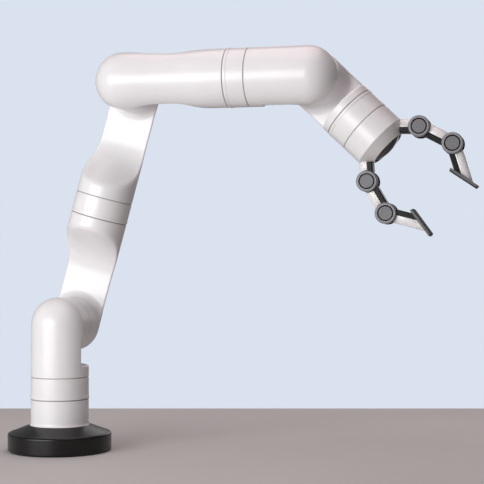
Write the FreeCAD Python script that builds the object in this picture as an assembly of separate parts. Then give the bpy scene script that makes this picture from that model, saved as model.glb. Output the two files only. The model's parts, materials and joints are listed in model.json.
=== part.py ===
import FreeCAD, Part
import math
import os

# Collaborative robot arm with seven joints and a two-finger gripper, in millimetres.
# Z is up and the origin is the centre of the base's underside, on the axis of joint 1.
# The arm reaches along +X.  All pitch axes are parallel to Y.  Column and forearm lie in
# the plane Y = 0, lower arm and wrist in the plane Y = LINK_OFFSET, so that links fold
# past each other.

V = FreeCAD.Vector
ORIGIN, X_AXIS, Y_AXIS, Z_AXIS = V(0, 0, 0), V(1, 0, 0), V(0, 1, 0), V(0, 0, 1)

# Links
LINK_R = 50.0  # outer radius of every link
WALL = 4.0  # casting thickness of the shells
LINK_OFFSET = 50.0  # sideways distance between neighbouring link planes
SHOULDER_Z = 217.1  # height of the joint 2 axis
LOWER_ARM_LENGTH = 438.2  # joint 2 to joint 4
FOREARM_LENGTH = 323.8  # joint 4 to joint 6
WRIST_LENGTH = 173.8  # joint 6 to the end face of the gripper housing
LOWER_ARM_ANGLE = 15.68  # from vertical towards +X
FOREARM_ANGLE = 90.2
WRIST_ANGLE = 134.0

# Bands of the roll joints: distance from the pitch axis before them to both seams
BANDS = {"j1": (89.7, 127.7), "j3": (196.8, 233.7), "j5": (186.9, 223.3), "j7": (83.0, 119.6)}
GROOVE = 1.6  # width of a groove between two shells
SEAL_CLEARANCE = 0.4  # between a seal and the shell that turns past it
LIP_WIDTH = 5.0  # raised lip of a band beside its first seam
LIP_RISE = 0.6
EDGE_BREAK = 0.5  # small chamfer of turned edges
SEAL_INSETS = (1.6, 1.2)  # how far the seals lie below the surface
BULKHEAD_GAP = 3.0  # between a roll actuator and the far end of its band

# Ends of the links round a pitch joint.  Depths are measured from the link's own axis
# towards the neighbour's side; a flat is the face that lets the neighbour fold past.
COLUMN_FLAT, LOWER_ARM_FLAT, FOREARM_REAR_FLAT, FRONT_FLAT = -16.0, -22.0, -16.0, -7.0
BARREL_R = 47.5
SEAM_DEPTH = LINK_OFFSET / 2 - GROOVE / 2
FLARE_R = 15.0  # hollow fillet between the barrel and the flat
LEDGE_CORNER_R = 4.0
SHOULDER_LEDGE, FOREARM_LEDGE, WRIST_LEDGE = 69.0, 76.0, 69.0  # from the pitch axis
LOWER_ARM_WAIST, FOREARM_WAIST = 0.0, 3.5  # how far a long shell draws in before its band
WAIST_PLACES = (0.05, 0.46, 0.88)  # start, neck and end of the waist along a shell
WAVE_PLACES = (0.42, 0.80, 0.72, 1.015)  # poles of the swell from flat to full round
WAVE_OVER = 2.0  # how far the swell ends outside the link
FLANGE_R = 34.0
FLANGE_REACH = 2.2  # of a roll joint's flange past its seam
BORE_CLEARANCE = 2.0  # round a flange where it passes a barrel's end
FLANGE_BORE_R = 16.0
CABLE_BORE_R = 20.0
HOLLOW_SHAFT_R = 14.0
ACTUATOR_R, ACTUATOR_FOOT_R = 43.0, 35.0
PITCH_ACTUATOR_H = 30.0

# Base
DISC_R = 89.5
DISC_RIM_Z = 31.5
DISC_CHAMFER = 3.0
DISC_ROUND = 5.0
CONE_TOP_Z = 44.8
CONE_TOP_R = 52.5
MOUNT_PCD = 150.0
MOUNT_COUNT = 6
MOUNT_HOLE_R = 4.0
MOUNT_HOLE_DEPTH = 18.0
GASKET_R = (54.0, 64.0)
GASKET_H = 3.0
SKIRT_FLARE, SKIRT_H = 2.0, 5.0
POST_R, POST_BORE_R, POST_FLANGE_R = 28.0, 22.0, 38.0
POST_FLANGE_H = 6.0
POST_SCREW_PCD = 66.0
POST_SCREW_COUNT = 6
POST_SCREW_R, POST_SCREW_HEAD_R, POST_SCREW_SOCKET_R = 2.5, 4.3, 2.1

# Gripper housing
CONE_LENGTH = 17.6
FACE_R = 32.4
RECESS_R = 30.6
RECESS_DEPTH = 9.0
BEZEL_WALL = 1.5
WINDOW_EDGE, WINDOW_RISE = 7.0, 7.5  # height of the window's rim, and of its dome above that
BEZEL_SET_BACK = 0.8
RECESS_SHELF, RECESS_FLOOR = 4.0, 3.0  # width of the shelf under the window, its thickness
MODULE_R, MODULE_LENGTH = 20.0, 16.0
LENS_R, LENS_LENGTH = 12.0, 6.0

# Fingers.  Points are (distance from the gripper axis, distance ahead of the end face).
STUB_ROOT = (38.0, -13.0)
KNUCKLE_1 = (62.6, 14.2)
KNUCKLE_2 = (79.5, 73.9)
PAD_CENTRE = (50.0, 126.8)
PAD_SPLAY = 10.0  # the pad faces open this much towards the tips
PAD_SIZE = (53.0, 38.0, 4.0)  # length, width, plate thickness
PAD_RUBBER = 2.0
PAD_CORNER_R = 2.0
RUBBER_MARGIN = 1.0
FINGER_W = 26.0
BAR_INNER, BAR_OUTER = -11.0, -1.6  # across the link, inner to outer side
BAR_ROUND = 2.0
COVER_R = 12.4
COVER_LINE = 0.8  # width and depth of the fine line along a cover's flank
DRUM_R = 16.5
DRUM_W = 18.0
CHEEK_W = 6.0
CAP_R = 18.0
CAP_W = 4.0
CAP_BEVEL, CAP_EDGE = 1.8, 2.0
CAP_GROOVE = (4.8, 6.3, 2.2)  # outer and inner edge below the rim, depth
CAP_DISC_DEPTH = 0.4
CAP_CLEARANCE = 0.8
PIN_R = 4.0
FIT = 0.05  # radial clearance of a pin in its drum
RUN = 0.3  # side clearance of a knuckle

# Connector panel in the foot, on the +Y side
PANEL_FACE_Y = 46.5
PANEL_HALF_W = 17.0
PANEL_THICKNESS = 6.5
PANEL_GAP = 0.2
PANEL_Z = (54.0, 80.0)
SOCKETS = ((-8.0, 6.5), (8.5, 4.5))  # place along X and radius of each round socket
SOCKET_DEPTH, COLLAR_WALL, COLLAR_RISE = 5.0, 1.5, 1.6


def vec(x, z):
    """Point in a link's own XZ plane."""
    return V(x, 0, z)


def cylinder(radius, low, high, axis=Z_AXIS, at=ORIGIN):
    return Part.makeCylinder(radius, high - low, at + axis * low, axis)


def ring(outer, inner, low, high, axis=Z_AXIS, at=ORIGIN):
    return cylinder(outer, low, high, axis, at).cut(cylinder(inner, low - 1, high + 1, axis, at))


def box(low, high):
    return Part.makeBox(high[0] - low[0], high[1] - low[1], high[2] - low[2], V(*low))


def closed_face(edges):
    return Part.Face(Part.Wire(Part.__sortEdges__(edges)))


def polyline(points):
    return [Part.makeLine(a, b) for a, b in zip(points, points[1:])]


def bezier(points):
    curve = Part.BezierCurve()
    curve.setPoles(points)
    return curve.toShape()


def chamfered_ring(outer, inner, low, high):
    """Ring about Z whose two outer edges are broken."""
    edge = EDGE_BREAK
    points = [vec(inner, low), vec(outer - edge, low), vec(outer, low + edge), vec(outer, high - edge)]
    points += [vec(outer - edge, high), vec(inner, high), vec(inner, low)]
    return closed_face(polyline(points)).revolve(ORIGIN, Z_AXIS, 360)


def place_link(shape, joint, angle, far_side):
    """Stand a shape built along +Z, with its neighbour on the +Y side, at a pitch joint."""
    out = shape.copy()
    if far_side:
        out.rotate(ORIGIN, Z_AXIS, 180)
    out.rotate(ORIGIN, Y_AXIS, angle)
    out.translate(joint + (Y_AXIS * LINK_OFFSET if far_side else ORIGIN))
    return out


def direction(angle):
    return V(math.sin(math.radians(angle)), 0, math.cos(math.radians(angle)))


J2 = V(0, 0, SHOULDER_Z)
J4 = J2 + direction(LOWER_ARM_ANGLE) * LOWER_ARM_LENGTH
J6 = J4 + direction(FOREARM_ANGLE) * FOREARM_LENGTH


def link_envelope(length, waist, inset, top):
    """Domed round bar along +Z; a long one draws in to a waist."""
    radius = LINK_R - inset
    start, middle, end = (place * length for place in WAIST_PLACES)
    dome_mid = vec(radius * math.sin(math.pi / 4), -radius * math.cos(math.pi / 4))
    edges = [Part.Arc(vec(0, -radius), dome_mid, vec(radius, 0)).toShape()]
    if waist:
        reach = 0.4 * (middle - start)
        low, neck, high = vec(radius, start), vec(radius - waist, middle), vec(radius, end)
        step = vec(0, reach)
        edges += polyline([vec(radius, 0), low])
        edges.append(bezier([low, low + step, neck - step, neck]))
        edges.append(bezier([neck, neck + step, high - step, high]))
        edges += polyline([high, vec(radius, top)])
    else:
        edges += polyline([vec(radius, 0), vec(radius, top)])
    edges += polyline([vec(radius, top), vec(0, top), vec(0, -radius)])
    return closed_face(edges).revolve(ORIGIN, Z_AXIS, 360)


def extrude_across(edges):
    """Solid with the given outline in the YZ plane, wider than any link."""
    return closed_face(edges).extrude(X_AXIS * (3 * LINK_R)).translated(X_AXIS * (-1.5 * LINK_R))


def wave_cut(length, face, inset):
    """What a long shell loses: a flat at the joint that swells into the full round."""
    flat, full = face - inset, LINK_R + WAVE_OVER - inset
    depths = (flat, flat, full, full)
    poles = [V(0, depth, place * length) for depth, place in zip(depths, WAVE_PLACES)]
    outside, beyond = 3 * LINK_R, -2 * LINK_R
    rest = [poles[-1], V(0, outside, poles[-1].z), V(0, outside, beyond), V(0, flat, beyond), poles[0]]
    return extrude_across([bezier(poles)] + polyline(rest))


def ledge_cut(ledge, face, inset):
    """What a short shell loses: a flat at the joint that ends in a step."""
    flat, step = face - inset, ledge + inset
    corner = LEDGE_CORNER_R
    lean = corner * (1 - math.sin(math.pi / 4))
    arc = Part.Arc(V(0, flat, step - corner), V(0, flat + lean, step - lean), V(0, flat + corner, step))
    outside = 3 * LINK_R
    rest = [V(0, flat + corner, step), V(0, outside, step), V(0, outside, -2 * LINK_R)]
    rest += [V(0, flat, -2 * LINK_R), V(0, flat, step - corner)]
    return extrude_across([arc.toShape()] + polyline(rest))


def flare(envelope, foot):
    """Hollow fillet that spreads the barrel over the flat, inside the link's outline."""
    low, top = foot - 1, foot + FLARE_R
    wide = BARREL_R + FLARE_R
    lean = FLARE_R * (1 - math.sin(math.pi / 4))
    arc = Part.Arc(V(wide, foot, 0), V(BARREL_R + lean, foot + lean, 0), V(BARREL_R, top, 0))
    rest = [V(BARREL_R, top, 0), V(0, top, 0), V(0, low, 0), V(wide, low, 0), V(wide, foot, 0)]
    return closed_face([arc.toShape()] + polyline(rest)).revolve(ORIGIN, Y_AXIS, 360).common(envelope)


def link_shell(length, face, waist, ledge, barrel_bore):
    """Hollow casting from the dome at a pitch joint to its open end at the band."""

    def cut_for(inset):
        return ledge_cut(ledge, face, inset) if ledge else wave_cut(length, face, inset)

    envelope = link_envelope(length, waist, 0, length)
    outer = envelope.cut(cut_for(0)).fuse(flare(envelope, face))
    outer = outer.fuse(cylinder(BARREL_R, face - 0.5, SEAM_DEPTH, Y_AXIS))
    cavity = link_envelope(length, waist, WALL, length - WALL).cut(cut_for(WALL))
    cavity = cavity.fuse(cylinder(BARREL_R - WALL, face - WALL - 0.5, SEAM_DEPTH - WALL, Y_AXIS))
    shell = outer.cut(cavity)
    shell = shell.cut(cylinder(barrel_bore, SEAM_DEPTH - WALL - 1, SEAM_DEPTH + 1, Y_AXIS))
    return shell.cut(cylinder(CABLE_BORE_R, length - WALL - 1, length + 1))


def band_parts(name, joint, angle, far_side):
    """Band with its lip, seals, actuator and output flange of a roll joint."""
    near, far = BANDS[name]
    half = GROOVE / 2
    start, end = near + half, far - half
    lip_end = start + LIP_WIDTH
    inner = LINK_R - WALL
    near_seal = ring(LINK_R - SEAL_INSETS[0], inner - 1, near - half + SEAL_CLEARANCE, start)
    far_seal = ring(LINK_R - SEAL_INSETS[1], inner - 1, end, far + half)
    flange_top = near + FLANGE_REACH
    body = ring(ACTUATOR_R, HOLLOW_SHAFT_R, flange_top + SEAL_CLEARANCE, end - BULKHEAD_GAP)
    foot = ring(ACTUATOR_FOOT_R, HOLLOW_SHAFT_R, end - BULKHEAD_GAP - 1, far + half)
    pieces = {
        "band": chamfered_ring(LINK_R + LIP_RISE, inner, start, lip_end).fuse(
            chamfered_ring(LINK_R, inner, lip_end, end)
        ),
        "seals": Part.makeCompound([near_seal, far_seal]),
        "actuator": body.fuse(foot),
        "output_flange": ring(FLANGE_R, FLANGE_BORE_R, near - half, flange_top),
    }
    for piece, shape in pieces.items():
        parts[f"{name}_{piece}"] = place_link(shape, joint, angle, far_side)


def pitch_parts(name, joint, parent_on_far_side):
    """Seal and actuator in the parent's barrel, and the flange that turns the child."""
    seat = SEAM_DEPTH - WALL
    far = SEAM_DEPTH + GROOVE
    seal_outer, seal_inner = BARREL_R - SEAL_INSETS[0], BARREL_R - WALL - 1
    pieces = {
        "seal": ring(seal_outer, seal_inner, SEAM_DEPTH, far - SEAL_CLEARANCE, Y_AXIS),
        "actuator": ring(ACTUATOR_R, HOLLOW_SHAFT_R, seat - PITCH_ACTUATOR_H, seat, Y_AXIS),
        "output_flange": ring(FLANGE_R, FLANGE_BORE_R, seat + SEAL_CLEARANCE, far, Y_AXIS),
    }
    for piece, shape in pieces.items():
        parts[f"{name}_{piece}"] = place_link(shape, joint, 0, parent_on_far_side)


def base_disc():
    """Black foot: rounded rim, shallow cone, threaded holes and gasket groove below."""
    rim_top, cone_foot = vec(DISC_R, DISC_RIM_Z - 4), vec(DISC_R - DISC_ROUND, DISC_RIM_Z + 1)
    outline = [vec(0, 0), vec(DISC_R - DISC_CHAMFER, 0), vec(DISC_R, DISC_CHAMFER), rim_top]
    shoulder = bezier([rim_top, vec(DISC_R, DISC_RIM_Z - 0.5), cone_foot])
    rest = [cone_foot, vec(CONE_TOP_R, CONE_TOP_Z), vec(0, CONE_TOP_Z), vec(0, 0)]
    disc = closed_face(polyline(outline) + [shoulder] + polyline(rest)).revolve(ORIGIN, Z_AXIS, 360)
    disc = disc.cut(ring(GASKET_R[1], GASKET_R[0], -1, GASKET_H))
    for at in circle_of_points(MOUNT_PCD, MOUNT_COUNT, 0):
        disc = disc.cut(cylinder(MOUNT_HOLE_R, -1, MOUNT_HOLE_DEPTH, at=at))
    return disc


def circle_of_points(pcd, count, first_angle):
    angles = [math.radians(360 / count * i + first_angle) for i in range(count)]
    return [V(math.cos(a), math.sin(a), 0) * (pcd / 2) for a in angles]


def base_foot():
    """White foot of the column with a flared skirt and a window for the connectors."""
    low, top = CONE_TOP_Z, BANDS["j1"][0] - GROOVE / 2
    inner = LINK_R - WALL
    skirt_foot, skirt_top = vec(LINK_R + SKIRT_FLARE, low), vec(LINK_R, low + SKIRT_H)
    skirt = bezier([skirt_foot, vec(LINK_R + 0.6, low + 1.5), skirt_top])
    rest = [skirt_top, vec(LINK_R, top), vec(CABLE_BORE_R, top), vec(CABLE_BORE_R, top - WALL)]
    rest += [vec(inner, top - WALL), vec(inner, low), skirt_foot]
    foot = closed_face([skirt] + polyline(rest)).revolve(ORIGIN, Z_AXIS, 360)
    opening = box((-PANEL_HALF_W, inner / 2, PANEL_Z[0]), (PANEL_HALF_W, LINK_R + 5, PANEL_Z[1]))
    return foot.cut(opening)


def connector_panel():
    """Plate that fills the foot's window, with a collared socket for each plug."""
    low, high = PANEL_Z
    half = PANEL_HALF_W - PANEL_GAP
    back = PANEL_FACE_Y - PANEL_THICKNESS
    plate = box((-half, back, low + PANEL_GAP), (half, PANEL_FACE_Y, high - PANEL_GAP))
    middle = (low + high) / 2
    for x, radius in SOCKETS:
        centre = V(x, 0, middle)
        outer, top = radius + COLLAR_WALL, PANEL_FACE_Y + COLLAR_RISE
        collar = ring(outer, radius, PANEL_FACE_Y - 2, top, Y_AXIS, centre)
        well = cylinder(radius, PANEL_FACE_Y - SOCKET_DEPTH, PANEL_FACE_Y + 1, Y_AXIS, centre)
        plate = plate.cut(well).fuse(collar)
    return plate


def base_post():
    """Inner tube that carries the arm on the disc, screwed down through its lower flange."""
    low, top = CONE_TOP_Z, BANDS["j1"][0] - GROOVE / 2 - WALL
    post = ring(POST_R, POST_BORE_R, low, top)
    post = post.fuse(ring(POST_FLANGE_R, POST_BORE_R, low, low + POST_FLANGE_H))
    post = post.fuse(ring(POST_FLANGE_R - 2, POST_BORE_R, top - POST_FLANGE_H, top))
    for at in circle_of_points(POST_SCREW_PCD, POST_SCREW_COUNT, 30):
        post = post.cut(cylinder(POST_SCREW_R + 0.1, low - 1, low + POST_FLANGE_H + 1, at=at))
    return post


def post_screws():
    seat = CONE_TOP_Z + POST_FLANGE_H
    screws = []
    for at in circle_of_points(POST_SCREW_PCD, POST_SCREW_COUNT, 30):
        screw = cylinder(POST_SCREW_HEAD_R, seat, seat + 5, at=at)
        screw = screw.fuse(cylinder(POST_SCREW_R, CONE_TOP_Z, seat, at=at))
        screws.append(screw.cut(cylinder(POST_SCREW_SOCKET_R, seat + 2, seat + 6, at=at)))
    return Part.makeCompound(screws)


def gripper_housing():
    """Round housing that narrows in a cone round the camera recess."""
    start, end = BANDS["j7"][1] + GROOVE / 2, WRIST_LENGTH
    cone, shelf = end - CONE_LENGTH, end - RECESS_DEPTH
    thin, edge = RECESS_R - RECESS_SHELF, EDGE_BREAK
    points = [vec(CABLE_BORE_R, start), vec(LINK_R - edge, start), vec(LINK_R, start + edge)]
    points += [vec(LINK_R, cone), vec(FACE_R, end), vec(RECESS_R, end), vec(RECESS_R, shelf)]
    points += [vec(thin, shelf), vec(thin, shelf - RECESS_FLOOR)]
    points += [vec(LINK_R - WALL - 6, cone), vec(LINK_R - WALL, cone - 6), vec(LINK_R - WALL, start + WALL)]
    points += [vec(CABLE_BORE_R, start + WALL), vec(CABLE_BORE_R, start)]
    return closed_face(polyline(points)).revolve(ORIGIN, Z_AXIS, 360)


def camera_bezel():
    end = WRIST_LENGTH
    return ring(RECESS_R, RECESS_R - BEZEL_WALL, end - RECESS_DEPTH, end - BEZEL_SET_BACK)


def camera_window():
    """Dark window that fills the recess; its dome stands a little out of the end face."""
    low = WRIST_LENGTH - RECESS_DEPTH
    radius = RECESS_R - BEZEL_WALL
    top = low + WINDOW_EDGE + WINDOW_RISE
    sphere_r = (radius**2 + WINDOW_RISE**2) / (2 * WINDOW_RISE)
    return cylinder(radius, low, top).common(Part.makeSphere(sphere_r, vec(0, top - sphere_r)))


def camera_module():
    top = WRIST_LENGTH - RECESS_DEPTH
    seat = top - LENS_LENGTH
    return cylinder(MODULE_R, seat - MODULE_LENGTH, seat).fuse(cylinder(LENS_R, seat - 1, top))


def finger_bar(length):
    """Flat black bar along +Z; its inner side is towards -X."""
    half = FINGER_W / 2
    bar = box((BAR_INNER, -half, 0), (BAR_OUTER, half, length))
    inner = [e for e in bar.Edges if abs(e.CenterOfMass.x - BAR_INNER) < 0.01 and e.Length > length - 1]
    return bar.makeFillet(BAR_ROUND, inner)


def finger_cover(length):
    """Half-round white cover on the bar's outer side, with a fine line along each flank."""
    half = FINGER_W / 2
    base = box((BAR_OUTER, -half, 0), (0, half, length))
    cover = base.fuse(cylinder(half, 0, length).common(box((0, -half, 0), (COVER_R, half, length))))
    for side in (-1, 1):
        low, high = sorted((side * (half - COVER_LINE), side * (half + 1)))
        cover = cover.cut(box((2 * COVER_LINE, low, -1), (3 * COVER_LINE, high, length + 1)))
    return cover.removeSplitter()


def knuckle_space(z):
    """Round space that a knuckle's caps and cheeks fill across a link."""
    return cylinder(CAP_R + CAP_CLEARANCE, -FINGER_W, FINGER_W, Y_AXIS, V(0, 0, z))


def with_drum(bar, z):
    """Add the gear-motor drum of the knuckle at the bar's far end, on a narrow neck."""
    half = DRUM_W / 2
    neck = box((BAR_INNER + 1, -half, z - CAP_R - 4), (BAR_OUTER + 6, half, z - DRUM_R + 4))
    solid = bar.fuse([neck, cylinder(DRUM_R, -half, half, Y_AXIS, V(0, 0, z))])
    return solid.cut(cylinder(PIN_R + FIT, -FINGER_W, FINGER_W, Y_AXIS, V(0, 0, z))).removeSplitter()


def with_fork(bar):
    """Add the two cheeks that take the knuckle at the bar's start between them."""
    low = DRUM_W / 2 + RUN
    high = low + CHEEK_W
    for side in (-1, 1):
        near, far = sorted((side * low, side * high))
        arm_near, arm_far = sorted((side * low, side * FINGER_W / 2))
        arm = box((BAR_INNER + 1, arm_near, 0), (BAR_OUTER, arm_far, CAP_R + 4))
        bar = bar.fuse([cylinder(DRUM_R, near, far, Y_AXIS), arm])
    return bar.cut(cylinder(PIN_R, -FINGER_W, FINGER_W, Y_AXIS)).removeSplitter()


def knuckle_caps():
    """Front cap with the hinge pin in one piece, and the rear cap that closes it."""
    low = DRUM_W / 2 + RUN + CHEEK_W
    top = low + CAP_W
    groove, disc = CAP_R - CAP_GROOVE[0], CAP_R - CAP_GROOVE[1]
    bottom, face = top - CAP_GROOVE[2], top - CAP_DISC_DEPTH
    points = [V(0, low, 0), V(CAP_R, low, 0), V(CAP_R, low + CAP_EDGE, 0), V(CAP_R - CAP_BEVEL, top, 0)]
    points += [V(groove, top, 0), V(groove, bottom, 0), V(disc, bottom, 0), V(disc, face - EDGE_BREAK, 0)]
    points += [V(disc - EDGE_BREAK, face, 0), V(0, face, 0), V(0, low, 0)]
    rear = closed_face(polyline(points)).revolve(ORIGIN, Y_AXIS, 360)
    front = rear.copy()
    front.rotate(ORIGIN, Z_AXIS, 180)
    front = front.fuse(cylinder(PIN_R, -low, low, Y_AXIS))
    return Part.makeCompound([front, rear])


def on_line(shape, start, angle=0.0):
    """Move a finger piece from its own frame to its place in the gripper's frame."""
    out = shape.copy()
    out.rotate(ORIGIN, Y_AXIS, angle)
    out.translate(vec(*start))
    return out


def reach(start, end):
    """Length of a finger link and its angle from the gripper's axis."""
    run = vec(*end) - vec(*start)
    return run.Length, math.degrees(math.atan2(run.x, run.z))


def stub():
    """Fixed root of a finger, from the cone to the first knuckle."""
    length, angle = reach(STUB_ROOT, KNUCKLE_1)
    cone = Part.makeCone(LINK_R, FACE_R, CONE_LENGTH, V(0, 0, -CONE_LENGTH), Z_AXIS)
    housing = cone.fuse(cylinder(LINK_R, -3 * CONE_LENGTH, -CONE_LENGTH))
    bar = with_drum(finger_bar(length).cut(knuckle_space(length)), length)
    cover = finger_cover(length).cut(knuckle_space(length)).cut(bar)
    return {
        "stub_bar": on_line(bar, STUB_ROOT, angle).cut(housing),
        "stub_cover": on_line(cover, STUB_ROOT, angle).cut(housing),
    }


def proximal():
    length, angle = reach(KNUCKLE_1, KNUCKLE_2)
    bar = finger_bar(length).cut(knuckle_space(0)).cut(knuckle_space(length))
    bar = with_drum(with_fork(bar), length)
    cover = finger_cover(length).cut(knuckle_space(0)).cut(knuckle_space(length)).cut(bar)
    return {
        "proximal_bar": on_line(bar, KNUCKLE_1, angle),
        "proximal_cover": on_line(cover, KNUCKLE_1, angle),
        "knuckle_1_caps": on_line(knuckle_caps(), KNUCKLE_1),
    }


def distal():
    """Last link, cut off slanting where the pad plate closes it."""
    length, angle = reach(KNUCKLE_2, PAD_CENTRE)
    long, wide, plate = PAD_SIZE
    back = (plate + PAD_RUBBER) / 2
    beyond = on_line(box((-2 * long, -wide, -2 * long), (back, wide, 2 * long)), PAD_CENTRE, PAD_SPLAY)
    bar = with_fork(finger_bar(length + long / 2).cut(knuckle_space(0)))
    cover = finger_cover(length + long / 2).cut(knuckle_space(0)).cut(bar)
    steel = box((back - plate, -wide / 2, -long / 2), (back, wide / 2, long / 2))
    corners = [e for e in steel.Edges if abs(e.Length - plate) < 0.01]
    rubber_w, rubber_l = wide / 2 - RUBBER_MARGIN, long / 2 - RUBBER_MARGIN
    rubber = box((-back, -rubber_w, -rubber_l), (back - plate, rubber_w, rubber_l))
    return {
        "distal_bar": on_line(bar, KNUCKLE_2, angle).cut(beyond),
        "distal_cover": on_line(cover, KNUCKLE_2, angle).cut(beyond),
        "knuckle_2_caps": on_line(knuckle_caps(), KNUCKLE_2),
        "pad_plate": on_line(steel.makeFillet(PAD_CORNER_R, corners), PAD_CENTRE, PAD_SPLAY),
        "pad_rubber": on_line(rubber, PAD_CENTRE, PAD_SPLAY),
    }


def place_gripper(shape, upper):
    """From the gripper's frame, with its end face at the origin, to the arm's."""
    out = shape.copy()
    if upper:
        out.rotate(ORIGIN, Z_AXIS, 180)
    out.translate(Z_AXIS * WRIST_LENGTH)
    out.rotate(ORIGIN, Y_AXIS, WRIST_ANGLE)
    out.translate(J6 + Y_AXIS * LINK_OFFSET)
    return out


def add_base():
    parts["base_disc"] = base_disc()
    parts["base_gasket"] = ring(GASKET_R[1], GASKET_R[0], 0, GASKET_H)
    parts["base_foot"] = base_foot()
    parts["base_post"] = base_post()
    parts["base_post_screws"] = post_screws()
    parts["connector_panel"] = connector_panel()


def add_shells():
    """Stand each shell at its pitch joint, pointing at the band where it ends."""
    half = GROOVE / 2
    wide, narrow = FLANGE_R + BORE_CLEARANCE, FLANGE_BORE_R
    column = SHOULDER_Z - BANDS["j1"][1] - half
    upper_half = LOWER_ARM_LENGTH - BANDS["j3"][1] - half
    front_half = FOREARM_LENGTH - BANDS["j5"][1] - half
    lower_arm, forearm = LOWER_ARM_ANGLE, FOREARM_ANGLE
    # joint, direction, far side, length, flat, waist, ledge, bore of the barrel's end
    shells = {
        "shoulder": (J2, 180, False, column, COLUMN_FLAT, 0, SHOULDER_LEDGE, wide),
        "lower_arm_lower": (
            J2, lower_arm, True, BANDS["j3"][0] - half, LOWER_ARM_FLAT, LOWER_ARM_WAIST, None, narrow,
        ),
        "lower_arm_upper": (
            J4, lower_arm + 180, True, upper_half, LOWER_ARM_FLAT, LOWER_ARM_WAIST, None, wide,
        ),
        "forearm_rear": (
            J4, forearm, False, BANDS["j5"][0] - half, FOREARM_REAR_FLAT, FOREARM_WAIST, None, narrow,
        ),
        "forearm_front": (J6, forearm + 180, False, front_half, FRONT_FLAT, 0, FOREARM_LEDGE, wide),
        "wrist": (J6, WRIST_ANGLE, True, BANDS["j7"][0] - half, FRONT_FLAT, 0, WRIST_LEDGE, narrow),
    }
    for name, (joint, angle, far_side, length, face, waist, ledge, bore) in shells.items():
        shell = link_shell(length, face, waist, ledge, bore)
        parts[f"{name}_shell"] = place_link(shell, joint, angle, far_side)


def add_joints():
    band_parts("j1", ORIGIN, 0, False)
    band_parts("j3", J2, LOWER_ARM_ANGLE, True)
    band_parts("j5", J4, FOREARM_ANGLE, False)
    band_parts("j7", J6, WRIST_ANGLE, True)
    pitch_parts("j2", J2, False)
    pitch_parts("j4", J4, True)
    pitch_parts("j6", J6, False)


def add_gripper():
    pieces = {
        "gripper_housing": gripper_housing(),
        "camera_bezel": camera_bezel(),
        "camera_window": camera_window(),
        "camera_module": camera_module(),
    }
    for name, shape in pieces.items():
        parts[name] = place_link(shape, J6, WRIST_ANGLE, True)
    for name, shape in stub().items():
        both = [place_gripper(shape, upper) for upper in (True, False)]
        parts[f"finger_{name}s"] = Part.makeCompound(both)
    for name, shape in {**proximal(), **distal()}.items():
        parts[f"upper_{name}"] = place_gripper(shape, True)
        parts[f"lower_{name}"] = place_gripper(shape, False)


parts = {}
add_base()
add_shells()
add_joints()
add_gripper()
os.makedirs("parts", exist_ok=True)
for part_name, part_shape in parts.items():
    part_shape.exportStep(f"parts/{part_name}.step")
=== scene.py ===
"""Visual model of the collaborative robot arm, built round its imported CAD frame.

The shells, bands, base disc, gripper housing, camera window and its bezel, finger covers and
knuckle caps are drawn again with smoother skins that stand for their CAD nodes.  The other
nodes keep their CAD meshes.
"""

import json
import math

import bmesh
import bpy
import numpy as np
from mathutils import Matrix, Vector

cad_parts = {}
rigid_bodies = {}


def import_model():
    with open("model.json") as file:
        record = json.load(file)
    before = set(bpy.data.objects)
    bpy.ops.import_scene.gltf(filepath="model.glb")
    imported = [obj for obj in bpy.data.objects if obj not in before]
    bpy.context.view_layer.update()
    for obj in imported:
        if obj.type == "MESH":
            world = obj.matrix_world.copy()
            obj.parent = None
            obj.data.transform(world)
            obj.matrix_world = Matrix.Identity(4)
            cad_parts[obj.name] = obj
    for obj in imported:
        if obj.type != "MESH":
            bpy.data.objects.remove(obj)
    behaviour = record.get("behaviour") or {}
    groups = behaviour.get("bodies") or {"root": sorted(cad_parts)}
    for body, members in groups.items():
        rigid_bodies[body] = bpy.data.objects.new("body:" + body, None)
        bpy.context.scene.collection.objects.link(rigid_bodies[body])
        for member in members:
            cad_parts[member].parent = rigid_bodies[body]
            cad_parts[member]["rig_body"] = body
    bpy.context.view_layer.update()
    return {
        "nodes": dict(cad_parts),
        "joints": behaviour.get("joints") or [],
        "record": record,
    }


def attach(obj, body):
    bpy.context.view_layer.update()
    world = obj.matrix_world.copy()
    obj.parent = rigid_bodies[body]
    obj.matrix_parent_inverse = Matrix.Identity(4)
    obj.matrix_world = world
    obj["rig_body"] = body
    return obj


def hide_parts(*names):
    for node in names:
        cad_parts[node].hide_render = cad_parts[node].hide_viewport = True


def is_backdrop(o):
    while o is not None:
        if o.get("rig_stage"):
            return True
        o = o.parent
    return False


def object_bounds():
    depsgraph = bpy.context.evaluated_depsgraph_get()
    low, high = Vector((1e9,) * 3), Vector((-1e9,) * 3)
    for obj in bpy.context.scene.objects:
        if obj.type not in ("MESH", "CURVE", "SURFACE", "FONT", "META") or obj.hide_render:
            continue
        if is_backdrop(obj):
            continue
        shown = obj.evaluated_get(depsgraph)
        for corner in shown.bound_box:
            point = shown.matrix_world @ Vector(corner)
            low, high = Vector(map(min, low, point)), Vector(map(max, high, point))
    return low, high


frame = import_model()

MM = 0.001

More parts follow.
